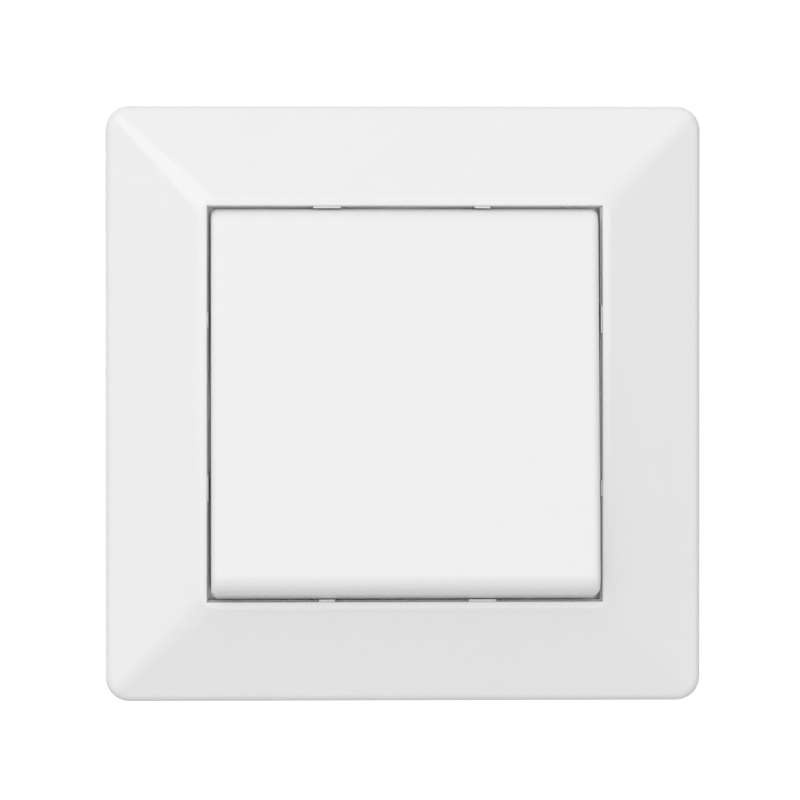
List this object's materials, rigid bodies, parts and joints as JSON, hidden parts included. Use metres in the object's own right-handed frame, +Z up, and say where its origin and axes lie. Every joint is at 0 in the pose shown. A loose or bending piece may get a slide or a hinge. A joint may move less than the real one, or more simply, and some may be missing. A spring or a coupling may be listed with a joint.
{
  "type": "light switch",
  "caption": "Flush rocker light switch: square white bevelled cover frame, white rocker key, steel mounting plate with spreading claws, and a contact base with screw terminals.",
  "frame": {"origin": "centre of the box-screw slots, in the wall plane on the mounting plate's rear face", "axes": "+Z up the wall, -Y out of the wall towards the room, +X to the right seen from the room"},
  "size_m": [0.082, 0.0346, 0.082],
  "materials": {
    "frame_white": "smooth gloss moulding",
    "rocker_white": "smooth gloss moulding",
    "carrier_white": "matt moulding",
    "base_grey": "matt moulding",
    "lever_nylon": "natural nylon",
    "zinc_steel": "zinc plated",
    "spring_steel": "drawn wire",
    "strip_brass": "stamped, bare",
    "blade_copper": "stamped, bare",
    "contact_silver": "silver alloy, coined"
  },
  "bodies": {
    "chassis": {"cover_frame": "frame_white", "clip_carrier": "carrier_white", "mounting_plate": "zinc_steel", "base": "base_grey", "fixed_contact": "contact_silver", "line_strip": "strip_brass", "load_strip": "strip_brass", "line_clamp": "zinc_steel", "load_clamp": "zinc_steel", "chassis_screws": "zinc_steel", "right_claw_pin": "zinc_steel", "left_claw_pin": "zinc_steel"},
    "rocker": {"rocker_cap": "rocker_white", "actuator": "lever_nylon", "plunger_spring": "spring_steel"},
    "plunger": {"plunger": "lever_nylon"},
    "contact": {"contact_blade": "blade_copper", "moving_contact": "contact_silver"},
    "right_claw": {"right_claw": "zinc_steel"},
    "left_claw": {"left_claw": "zinc_steel"},
    "right_claw_screw": {"right_claw_screw": "zinc_steel"},
    "left_claw_screw": {"left_claw_screw": "zinc_steel"},
    "line_terminal_screw": {"line_terminal_screw": "zinc_steel"},
    "load_terminal_screw": {"load_terminal_screw": "zinc_steel"}
  },
  "joints": [
    {"name": "rocker_tilt", "type": "hinge", "parent": "chassis", "child": "rocker", "pos_m": [0, -0.00652, 0], "axis": [1, 0, 0], "range_deg": [0, 10]},
    {"name": "contact_tilt", "type": "hinge", "parent": "chassis", "child": "contact", "pos_m": [0, 0.0092, 0], "axis": [1, 0, 0], "range_deg": [-22.4, 0]},
    {"name": "plunger_slide", "type": "slide", "parent": "rocker", "child": "plunger", "axis": [0, -0.9962, 0.0872], "range_m": [0, 0.0008], "stiffness_N_per_m": 400, "springref_m": -0.002, "deforming": ["plunger_spring"]},
    {"name": "line_terminal_screw_drive", "type": "slide", "parent": "chassis", "child": "line_terminal_screw", "axis": [0, 0, -1], "range_m": [0, 0.0029]},
    {"name": "load_terminal_screw_drive", "type": "slide", "parent": "chassis", "child": "load_terminal_screw", "axis": [0, 0, 1], "range_m": [0, 0.0029]},
    {"name": "right_claw_spread", "type": "hinge", "parent": "chassis", "child": "right_claw", "pos_m": [0.0257, 0.003, 0.0065], "axis": [0, 0, -1], "range_deg": [0, 15]},
    {"name": "right_claw_screw_drive", "type": "slide", "parent": "chassis", "child": "right_claw_screw", "axis": [0, 1, 0], "range_m": [0, 0.00087]},
    {"name": "left_claw_spread", "type": "hinge", "parent": "chassis", "child": "left_claw", "pos_m": [-0.0257, 0.003, -0.0065], "axis": [0, 0, 1], "range_deg": [0, 15]},
    {"name": "left_claw_screw_drive", "type": "slide", "parent": "chassis", "child": "left_claw_screw", "axis": [0, 1, 0], "range_m": [0, 0.00087]}
  ],
  "couplings": [
    {"joint": "contact_tilt", "follows": "rocker_tilt", "ratio": -2.24},
    {"joint": "right_claw_screw_drive", "follows": "right_claw_spread", "m_per_rad": 0.003285},
    {"joint": "left_claw_screw_drive", "follows": "left_claw_spread", "m_per_rad": 0.003285}
  ]
}
